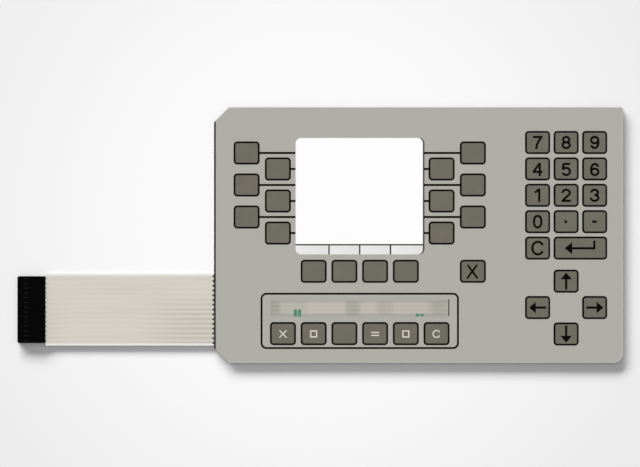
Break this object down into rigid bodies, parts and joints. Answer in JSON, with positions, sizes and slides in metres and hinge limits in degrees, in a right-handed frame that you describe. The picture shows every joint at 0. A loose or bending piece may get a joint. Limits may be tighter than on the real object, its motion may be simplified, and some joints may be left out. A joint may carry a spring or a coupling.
{
  "type": "membrane keypad",
  "caption": "Flat membrane keypad with embossed keys round a display window, a ribbed flat tail and a socket connector.",
  "frame": {"origin": "middle of the panel, on the rear face of its foam adhesive", "axes": "+X along the panel away from the tail, +Y to the top of the keypad, +Z out of the keys"},
  "size_m": [0.3226, 0.136, 0.0025],
  "materials": {
    "overlay": "fine velvet texture",
    "key_ink": "matt ink",
    "line_ink": "matt ink",
    "window": "smooth, milky",
    "adhesive": "tacky",
    "spacer": "satin",
    "dome_steel": "polished",
    "silver_ink": "printed",
    "circuit_film": "smooth",
    "conductor": "bare",
    "tail_cover": "satin",
    "foam": "closed cells",
    "housing": "moulded",
    "contact": "tinned"
  },
  "bodies": {
    "root": {"overlay_film": "overlay", "key_print": "key_ink", "line_print": "line_ink", "display_window": "window", "window_rules": "line_ink", "overlay_adhesive": "adhesive", "spacer": "spacer", "left_softkey_domes": "dome_steel", "right_softkey_domes": "dome_steel", "menu_domes": "dome_steel", "exit_dome": "dome_steel", "number_domes": "dome_steel", "arrow_domes": "dome_steel", "function_domes": "dome_steel", "contact_pads": "silver_ink", "circuit_film": "circuit_film", "tail_conductors": "conductor", "tail_cover": "tail_cover", "rear_foam": "foam", "connector_housing": "housing", "connector_contacts": "contact"}
  },
  "joints": []
}
